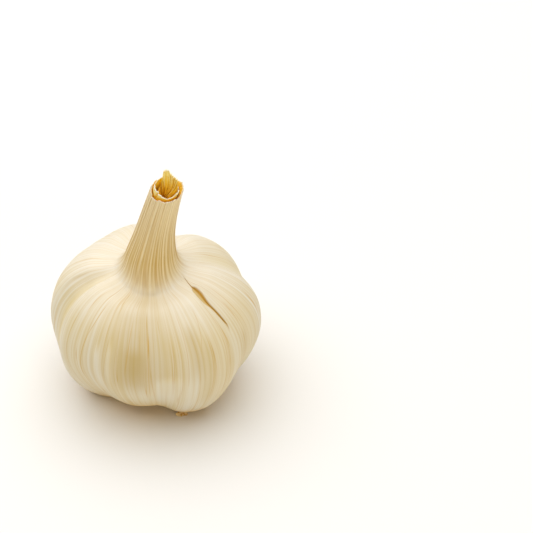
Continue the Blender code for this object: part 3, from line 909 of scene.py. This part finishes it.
# Root plate: a brown woody disc in the dish, with the short stubs of the trimmed roots.
plateForm = {
    # radius and height, over the top and back along the underside
    "profile": [(0.0, 3.9), (2.0, 3.88), (4.0, 3.82), (5.4, 3.75), (6.6, 3.5), (7.4, 3.2), (7.9, 2.85),
                (8.0, 2.6), (7.9, 2.3), (7.5, 1.9), (6.6, 1.7), (5.0, 1.6), (3.4, 1.62), (1.8, 1.7),
                (0.0, 1.8)],
    # the number of the underside's first point
    "underside": 10,
    "cuts": 160,
    "rough": 0.1,
    "roughWaves": ((5, 9, 14, 21), 41),
    # how fast the waves drift with the radius, and the radius beyond which they move the edge
    "roughTwist": 9.0,
    "roughEdge": 6.0,
    "smoothMiddle": (0.5, 2.0),
    "stubs": 90,
    "stubRing": (1.6, 7.2),
    "stubRadius": (0.24, 0.5),
    "stubRoot": 2.6,
    "stubEnd": (0.4, 1.3),
    "splay": 1.12,
    "turn": 137.508,
    "turnVary": 8.0,
    "endVary": 0.2,
    "sides": 10,
    # places along a stub, and its thickness at each
    "steps": (0.0, 0.3, 0.6, 0.85, 1.0),
    "taper": (1.1, 1.0, 0.92, 0.85, 0.6),
    "tone": (0.3, 0.8),
    "seed": 5,
}
plateLook = {"wood": "#9c7f56", "dark": "#5e452a", "stub": "#cdb586", "roughness": 0.85,
             # noise cells in a metre, which makes the mottles about 1.4 mm wide
             "mottle": 700.0, "bump": (0.6, 0.2)}


def rootMaterial():
    look = plateLook
    material, tree, shader = startMaterial("dryRootPlate", look["roughness"], specular=0.2)
    stub = addNode(tree, "Attribute", attribute_name="stub").node.outputs["Fac"]
    place = addNode(tree, "TexCoord").node.outputs["Object"]
    mottle = addNode(tree, "TexNoise", place, look["mottle"], 3.0)
    colour = hexColour(look["dark"])
    for share, name in ((addNode(tree, "MapRange", mottle, 0.35, 0.65), "wood"), (stub, "stub")):
        colour = addNode(tree, "Mix", share, colour, hexColour(look[name]), data_type="RGBA")
    tree.links.new(colour, shader.inputs["Base Color"])
    strength, depth = look["bump"]
    tree.links.new(addNode(tree, "Bump", strength, depth * mm, None, mottle), shader.inputs["Normal"])
    return material


def buildRootPlate():
    form = plateForm
    profile = np.array(form["profile"])
    mesh, azimuth, ring = rolledGrid("rootPlate", len(profile), form["cuts"])
    radius, height = profile[ring, 0], profile[ring, 1]
    uneven = form["rough"] * ringNoise(azimuth, form["roughTwist"] * radius, *form["roughWaves"])
    radius = radius + uneven * (radius > form["roughEdge"])
    height = height + uneven * (ring >= form["underside"]) * smoothStep(form["smoothMiddle"], radius)
    x, y = turned(azimuth, radius)
    writePoints(mesh, np.stack([x, y, height], axis=1))
    writeValue(mesh, "stub", np.zeros(len(radius)))
    closeSeams(mesh)
    bm = bmesh.new()
    bm.from_mesh(mesh)
    layer = bm.verts.layers.float["stub"]
    draw = random.Random(form["seed"])
    for number in range(form["stubs"]):
        near, far = form["stubRing"]
        ringRadius = near + (far - near) * math.sqrt((number + 0.5) / form["stubs"])
        azimuth = math.radians(number * form["turn"] + draw.uniform(-form["turnVary"], form["turnVary"]))
        side = Vector((math.cos(azimuth), math.sin(azimuth), 0.0))
        thick, end = draw.uniform(*form["stubRadius"]), draw.uniform(*form["stubEnd"])
        first = side * ringRadius + Vector((0, 0, form["stubRoot"]))
        vary = form["endVary"]
        stray = Vector((draw.uniform(-vary, vary), draw.uniform(-vary, vary), end))
        last = side * ringRadius * form["splay"] + stray
        spots = [first.lerp(last, share) * mm for share in form["steps"]]
        radii = [thick * mm * size for size in form["taper"]]
        tone = draw.uniform(*form["tone"])
        # the stub is dark at its root and full of its own tone from the middle on
        addStrand(bm, spots, radii, form["sides"], {layer: lambda share, place: tone * min(2.0 * share, 1.0)})
    bm.to_mesh(mesh)
    bm.free()
    closeSeams(mesh)
    mesh.transform(Matrix.Translation(homeShift))
    return mesh


addPiece("rootPlate", buildRootPlate(), rootMaterial(), "root_plate")
print("root plate built")


# Torn scrap of skin caught under the front foot: a thin golden flake, a little curled.
scrapForm = {
    "cuts": (24, 8),
    "half": (1.75, 0.9),
    "place": (7.3, -16.6, 0.12),
    "curl": 0.3,
    "turn": 8.0,
    "thick": 0.08,
    # waves of the torn edge: height and how fast each runs along it
    "edgeWaves": ((0.18, 5.0), (0.1, 13.0)),
    "curlWave": (0.3, 4.0),
    "seed": 61,
}
# noise cells in a metre, which makes the specks about 0.6 mm wide
scrapLook = {"colour": "#ffeec0", "speck": "#dcb060", "roughness": 0.6, "mottle": 1600.0}


def buildScrap():
    form, look = scrapForm, scrapLook
    material, tree, shader = startMaterial("drySkinScrap", look["roughness"], specular=0.3)
    mottle = addNode(tree, "TexNoise", addNode(tree, "TexCoord").node.outputs["Object"], look["mottle"], 2.0)
    colour = addNode(tree, "Mix", addNode(tree, "MapRange", mottle, 0.4, 0.64), hexColour(look["colour"]),
                     hexColour(look["speck"]), data_type="RGBA")
    tree.links.new(colour, shader.inputs["Base Color"])
    bm = bmesh.new()
    bmesh.ops.create_grid(bm, x_segments=form["cuts"][0], y_segments=form["cuts"][1], size=1.0)
    draw = random.Random(form["seed"])
    phases = [draw.uniform(0.0, math.tau) for number in range(3)]
    for vert in bm.verts:
        across, deep = vert.co.x, vert.co.y
        edge = 1.0 + sum(high * math.sin(pace * across + phase)
                         for (high, pace), phase in zip(form["edgeWaves"], phases))
        # narrow at both ends, and lifted at the back
        taper = math.sqrt(max(1.0 - 0.8 * across * across, 0.05))
        high, pace = form["curlWave"]
        wave = 1.0 - high + high * math.sin(pace * across + phases[2])
        lift = form["curl"] * (0.5 + 0.5 * deep) ** 2 * wave
        vert.co = Vector((form["half"][0] * across, form["half"][1] * deep * edge * taper, lift))
    bmesh.ops.solidify(bm, geom=bm.faces[:], thickness=form["thick"])
    bmesh.ops.recalc_face_normals(bm, faces=bm.faces)
    lowest = min(vert.co.z for vert in bm.verts)
    turn = Matrix.Rotation(math.radians(form["turn"]), 4, "Z")
    home = Matrix.Translation(Vector(form["place"]) - Vector((0, 0, lowest)))
    bmesh.ops.transform(bm, matrix=Matrix.Scale(mm, 4) @ home @ turn, verts=bm.verts)
    mesh = meshOf(bm, "skinScrap")
    mesh.transform(Matrix.Translation(homeShift))
    addPiece("skinScrap", mesh, material, None)


buildScrap()
print("skin scrap built")


# The camera and the stage
view = {"elevation": 38.0, "distance": 650.0, "pixelsPerMm": 3.41, "image": 533.0, "sensor": 36.0,
        "target": (0.0, 0.0, 25.0), "targetPixel": (156.5, 313.0)}


def placeCamera():
    focal = view["pixelsPerMm"] * view["distance"]
    tilt = math.radians(view["elevation"])
    right, up = Vector((1, 0, 0)), Vector((0, math.sin(tilt), math.cos(tilt)))
    forward = Vector((0, math.cos(tilt), -math.sin(tilt)))
    across, down = (pixel - view["image"] / 2 for pixel in view["targetPixel"])
    # from the camera to the point that the target's pixel shows
    ray = right * across / focal - up * down / focal + forward
    camera = bpy.data.objects.new("camera", bpy.data.cameras.new("camera"))
    camera.data.sensor_width = view["sensor"]
    camera.data.lens = view["sensor"] * focal / view["image"]
    camera.data.clip_start, camera.data.clip_end = 0.01, 20.0
    camera.location = Vector(view["target"]) * mm + homeShift - ray * view["distance"] * mm
    camera.rotation_euler = (math.radians(90.0) - tilt, 0.0, 0.0)
    bpy.context.scene.collection.objects.link(camera)
    bpy.context.scene.camera = camera


stage = {"floorSize": 6.0, "floorColour": "#eeece8", "floorRoughness": 0.85, "floorDrop": 0.02 * mm,
         "worldColour": (1.0, 0.965, 0.89), "worldPower": 0.3,
         "aim": (0, 0, 0.03),
         # name, place, size in metres, power in watts and colour
         "lights": [("key", (-0.15, 0.22, 1.05), 2.4, 25.0, (0.985, 0.985, 1.0)),
                    ("lowFill", (0.42, -0.62, 0.16), 0.5, 1.1, (1.0, 0.89, 0.64))]}


def buildStage():
    # matte white paper, which gives the eye a soft shadow and no shine
    material, tree, shader = startMaterial("mattePaperFloor", stage["floorRoughness"], specular=0.1)
    shader.inputs["Base Color"].default_value = hexColour(stage["floorColour"])
    bm = bmesh.new()
    bmesh.ops.create_grid(bm, x_segments=1, y_segments=1, size=stage["floorSize"] / 2)
    bmesh.ops.translate(bm, vec=(0, 0, -stage["floorDrop"]), verts=bm.verts)
    floor = bpy.data.objects.new("floor", meshOf(bm, "floor"))
    floor.data.materials.append(material)
    bpy.context.scene.collection.objects.link(floor)
    floor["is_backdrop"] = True
    world = bpy.data.worlds.new("softRoom")
    world.use_nodes = True
    background = world.node_tree.nodes["Background"]
    background.inputs[0].default_value = (*stage["worldColour"], 1.0)
    background.inputs[1].default_value = stage["worldPower"]
    bpy.context.scene.world = world
    for name, place, size, power, colour in stage["lights"]:
        lamp = bpy.data.lights.new(name, "AREA")
        lamp.shape = "DISK"
        lamp.size, lamp.energy, lamp.color = size, power, colour
        item = bpy.data.objects.new(name, lamp)
        item.location = place
        item.rotation_euler = (Vector(stage["aim"]) - Vector(place)).to_track_quat("-Z", "Y").to_euler()
        bpy.context.scene.collection.objects.link(item)
    bpy.context.scene.view_settings.view_transform = "Standard"


placeCamera()
buildStage()

low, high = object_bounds()
